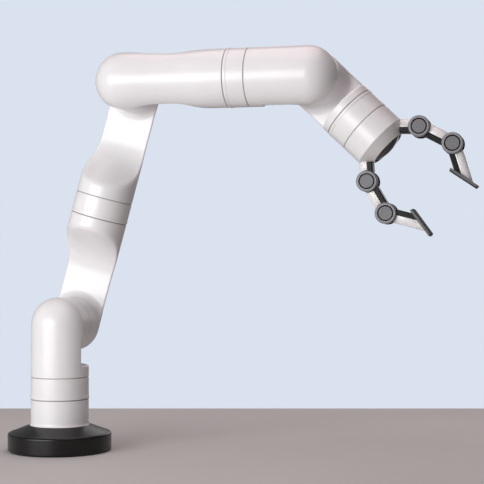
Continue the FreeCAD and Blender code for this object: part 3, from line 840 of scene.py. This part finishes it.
def cover_outline():
    """Half outline of a cover, from the middle of its foot round one flank to its top."""
    w, r, soft = COVER_HALF_W, COVER_EDGE_R, COVER_LINE_EDGE
    half_way = r * COVER_EDGE_MIDDLE

    def flank(x):
        return math.sqrt(w * w - x * x)

    out = [(COVER_FOOT, 0), (COVER_FOOT, w - r)]
    out += [(COVER_FOOT + half_way, w - half_way), (COVER_FOOT + r, w), (0.0, w)]
    low, high = 2 * COVER_LINE, 3 * COVER_LINE
    out += [(COVER_LINE, flank(COVER_LINE)), (low - soft, flank(low)), (low, flank(low) - soft)]
    out += [(low, w - COVER_LINE), (high, w - COVER_LINE)]
    out += [(high, flank(high) - soft), (high + soft, flank(high + soft))]
    first, last = math.asin(COVER_ARC_FROM / w), math.asin((COVER_TOP - COVER_ARC_TO) / w)
    for k in range(COVER_STEPS + 1):
        a = first + (last - first) * k / COVER_STEPS
        out.append((w * math.sin(a), w * math.cos(a)))
    edge = w * math.cos(last)
    out += [(COVER_TOP - drop, edge - inset) for drop, inset in COVER_TOP_EDGE]
    out.append((COVER_TOP, 0))
    return out


def cover(name, matrix, low_at, high_at):
    """Half-round cover swept between two end surfaces, with softened end edges."""
    half = cover_outline()
    outline = half + [(x, -y) for x, y in half[-2:0:-1]]
    count = len(outline)
    ring = np.array(outline)
    around = np.roll(ring, -1, 0) - np.roll(ring, 1, 0)
    outward = np.stack([around[:, 1], -around[:, 0]], 1)
    outward /= np.linalg.norm(outward, axis=1)[:, None]
    middle = np.array([COVER_TOP / 3, 0])
    if ((ring - middle) * outward).sum() < 0:
        outward = -outward
    low = np.array([low_at(x, y) for x, y in outline])
    high = np.array([high_at(x, y) for x, y in outline])
    levels = [(low + rise, inset) for rise, inset in reversed(COVER_ENDS)]
    levels += [(high - rise, inset) for rise, inset in COVER_ENDS]
    points, faces = [], []
    for z, inset in levels:
        at = ring - outward * inset
        points += [(at[i, 0], at[i, 1], z[i]) for i in range(count)]
    for level in range(len(levels) - 1):
        base = level * count
        for i in range(count):
            k = (i + 1) % count
            faces.append((base + i, base + k, base + count + k, base + count + i))
    top = (len(levels) - 1) * count
    for i in range(len(half) - 1):
        a, b = i, i + 1
        c, d = (count - b) % count, (count - a) % count
        loop = [v for n, v in enumerate((a, b, c, d)) if v not in (a, b, c, d)[:n]]
        if len(loop) > 2:
            faces.append(tuple(reversed(loop)))
            faces.append(tuple(top + v for v in loop))
    piece = new_object(name, points, faces, matrix)
    bm = bmesh.new()
    bm.from_mesh(piece.data)
    bmesh.ops.recalc_face_normals(bm, faces=bm.faces)
    bm.to_mesh(piece.data)
    bm.free()
    piece.data.set_sharp_from_angle(angle=COVER_SHARP)
    return piece


def knuckle_end(z, direction):
    """End surface of a cover, hollowed round a knuckle's axis at height z."""

    def height(x, _):
        return z + direction * math.sqrt(max(KNUCKLE_SPACE_R**2 - x * x, 0.0))

    return height


def stub_cover(side):
    matrix, length, local = line_matrix(side, STUB_ROOT, KNUCKLE_1)

    def on_cone(x, y):
        """Height at which a line along the stub leaves the housing's cone and face."""
        low, high = STUB_SEARCH_FROM, length
        for _ in range(HALVINGS):
            z = (low + high) / 2
            p = local @ Vector((x, y, z))
            outside = math.hypot(p.x, p.y) > FACE_R - p.z or p.z > 0
            low, high = (low, z) if outside else (z, high)
        return high - STUB_SINK

    return cover(f"{side}_stub", matrix, on_cone, knuckle_end(length, -1))


def proximal_cover(name, side):
    matrix, length, _ = line_matrix(side, KNUCKLE_1, KNUCKLE_2)
    return cover(name, matrix, knuckle_end(0, 1), knuckle_end(length, -1))


def distal_cover(name, side):
    matrix, _, local = line_matrix(side, KNUCKLE_2, PAD_CENTRE)
    splay = math.radians(PAD_SPLAY)
    normal = Vector((math.cos(splay), 0, -math.sin(splay)))
    at = Vector((PAD_CENTRE[0], 0, PAD_CENTRE[1])) + normal * PAD_BACK
    back = local.inverted()
    n, p = back.to_3x3() @ normal, back @ at

    def on_plate(x, _):
        return p.z - n.x * (x - p.x) / n.z

    return cover(name, matrix, knuckle_end(0, 1), on_plate)


stubs = [stub_cover("upper"), stub_cover("lower")]
stand_for(joined("finger_stub_shells", stubs), "finger_stub_covers")
for side in ("upper", "lower"):
    for part, draw in (("proximal_cover", proximal_cover), ("distal_cover", distal_cover)):
        node = f"{side}_{part}"
        stand_for(draw(f"{node}_shell", side), node)

groove_out, groove_in = CAP_R - CAP_GROOVE_OUT, CAP_R - CAP_GROOVE_IN
groove_z, face_z = CAP_W - CAP_GROOVE_DEPTH, CAP_W - CAP_DISC_DEPTH
CAP_PROFILE = [
    (0, 0, 0), (CAP_R, 0, 0.4), (CAP_R, CAP_EDGE, 0.7), (CAP_R - CAP_BEVEL, CAP_W, 0.5),
    (groove_out, CAP_W, 0.4), (groove_out, groove_z, 0.2), (groove_in, groove_z, 0.2),
    (groove_in, face_z, 0.5), (0, face_z, 0),
]
# Cap slots: the cap's own grey, the rim's painted highlight, and black for the painted groove
# shadow and for the rear caps
DISC_SLOT, RIM_HIGHLIGHT_SLOT, GROOVE_SHADOW_AND_REAR_SLOT = range(3)


def paint_cap(piece, at, front):
    """Front caps get a lighter grey rim as a painted highlight, round a groove painted dark as its
    shadow; rear caps are black all over.
    """
    shadow_from, shadow_to = CAP_GROOVE_SHADOW
    for face in piece.data.polygons:
        away = face.center - at
        radius = math.hypot(away.x, away.z) / MM
        if not front or shadow_from < radius < shadow_to:
            face.material_index = GROOVE_SHADOW_AND_REAR_SLOT
        else:
            face.material_index = RIM_HIGHLIGHT_SLOT if radius > shadow_to else DISC_SLOT


for side in ("upper", "lower"):
    for knuckle in ("1", "2"):
        name = f"{side}_knuckle_{knuckle}"
        at = joint_place(name)
        caps = []
        for facing, turn in (("front", math.pi / 2), ("rear", -math.pi / 2)):
            foot = Matrix.Translation((0, 0, CAP_FOOT))
            axis = Matrix.Translation(at) @ Matrix.Rotation(turn, 4, "X")
            place = axis @ Matrix.Scale(MM, 4) @ foot
            cap = lathe(f"{side}_{knuckle}_{facing}", CAP_PROFILE, place, CAP_SEGMENTS)
            paint_cap(cap, at, facing == "front")
            caps.append(cap)
        discs = joined(f"{name}_discs", caps)
        stand_for(discs, f"{name}_caps")
        # The rim's slot takes the painted highlight; the last slot, finger black, takes the painted
        # groove shadow and the rear caps
        discs.data.materials.append(cap_rim_highlight)
        discs.data.materials.append(finger_black)

# ----------------------------------------------------------------------- stage

CAMERA_PLACE = Vector((0.8499, -2.0471, 0.3286))
CAMERA_TURN, CAMERA_PITCH = math.radians(14.31), math.radians(0.88)
CAMERA_LENS, CAMERA_SENSOR = 93.4, 36.0
CAMERA_RANGE = (0.05, 50.0)

camera_data = bpy.data.cameras.new("camera")
camera_data.lens = CAMERA_LENS
camera_data.sensor_width = CAMERA_SENSOR
camera_data.clip_start, camera_data.clip_end = CAMERA_RANGE
camera = place_in_scene("camera", camera_data)
camera.location = CAMERA_PLACE
camera.rotation_euler = (math.pi / 2 + CAMERA_PITCH, 0, CAMERA_TURN)
bpy.context.scene.camera = camera

TABLE_BEHIND = 0.62  # from the base to the table's far edge, away from the camera
TABLE_SIDE, TABLE_FRONT = 3.0, 3.4
TABLE_DEPTH, TABLE_EDGE_R = 0.03, 0.004


def table_top():
    """Pale table with rounded edges, turned square to the camera."""
    turn = Matrix.Rotation(CAMERA_TURN, 4, "Z")
    corners = [(-TABLE_SIDE, -TABLE_FRONT), (TABLE_SIDE, -TABLE_FRONT)]
    corners += [(TABLE_SIDE, TABLE_BEHIND), (-TABLE_SIDE, TABLE_BEHIND)]
    points = [(x, y, z) for z in (-TABLE_DEPTH, 0) for x, y in corners]
    faces = [(0, 3, 2, 1), (4, 5, 6, 7), (0, 1, 5, 4), (1, 2, 6, 5), (2, 3, 7, 6), (3, 0, 4, 7)]
    bm = bmesh.new()
    verts = [bm.verts.new(turn @ Vector(p)) for p in points]
    for face in faces:
        bm.faces.new([verts[i] for i in face])
    bmesh.ops.bevel(bm, geom=list(bm.edges), offset=TABLE_EDGE_R, segments=3, affect="EDGES")
    mesh = bpy.data.meshes.new("table_top")
    bm.to_mesh(mesh)
    bm.free()
    return place_in_scene("table_top", mesh)


floor = table_top()
floor.data.materials.append(
    finish_material(
        "pale_floor", (0.62, 0.60, 0.59), (0.64, 0.62, 0.61), (0.85, 0.95),
        [(300.0, 0.03, 0.0005)], tone_scale=3.0, Specular_IOR_Level=0.05,
    )
)
floor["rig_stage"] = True

# The camera sees an even sky; the object is lit from stops across X, of position and colour.
SKY = (0.70, 0.76, 0.86, 1)
AMBIENT = [(0.0, (0.24, 0.24, 0.25)), (0.5, (0.20, 0.195, 0.195)), (1.0, (0.075, 0.068, 0.062))]


def studio():
    world = bpy.data.worlds.new("studio")
    bpy.context.scene.world = world
    tree = Tree(world)
    sky = tree.add("Background", Color=SKY)
    ambient = tree.add("Background")
    split = tree.add("SeparateXYZ")
    sideways = tree.add("MapRange", From_Min=-1.0)
    mix = tree.add("MixShader")
    tree.link(tree.add("TexCoord").outputs["Generated"], split.inputs["Vector"])
    tree.link(split.outputs["X"], sideways.inputs["Value"])
    tree.link(tree.ramp(sideways.outputs["Result"], AMBIENT), ambient.inputs["Color"])
    tree.link(tree.add("LightPath").outputs["Is Camera Ray"], mix.inputs["Fac"])
    tree.link(ambient.outputs["Background"], mix.inputs[1])
    tree.link(sky.outputs["Background"], mix.inputs[2])
    tree.link(mix.outputs["Shader"], tree.add("OutputWorld").inputs["Surface"])


def soft_box(name, place, size, power, colour):
    """Area light that faces the middle of the arm."""
    data = bpy.data.lights.new(name, "AREA")
    data.shape = "RECTANGLE"
    data.size, data.size_y = size
    data.energy = power
    data.color = colour
    obj = place_in_scene(name, data)
    obj.location = place
    obj.rotation_mode = "QUATERNION"
    obj.rotation_quaternion = (ARM_MIDDLE - Vector(place)).to_track_quat("-Z", "Y")


ARM_MIDDLE = Vector((0.3, 0.02, 0.4))
LIGHTS = [  # name, place, width and height, watts, colour
    ("key", (-0.85, -2.3, 0.48), (2.2, 1.5), 68, (1.0, 0.995, 1.005)),
    ("top", (0.5, 0.1, 2.3), (2.4, 1.6), 20, (1.0, 0.80, 0.83)),
    ("rear", (0.3, 2.3, 1.1), (1.4, 1.4), 6, (0.97, 0.98, 1.0)),
]
studio()
for light in LIGHTS:
    soft_box(*light)

bpy.context.scene.view_settings.view_transform = "Standard"

low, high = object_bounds()
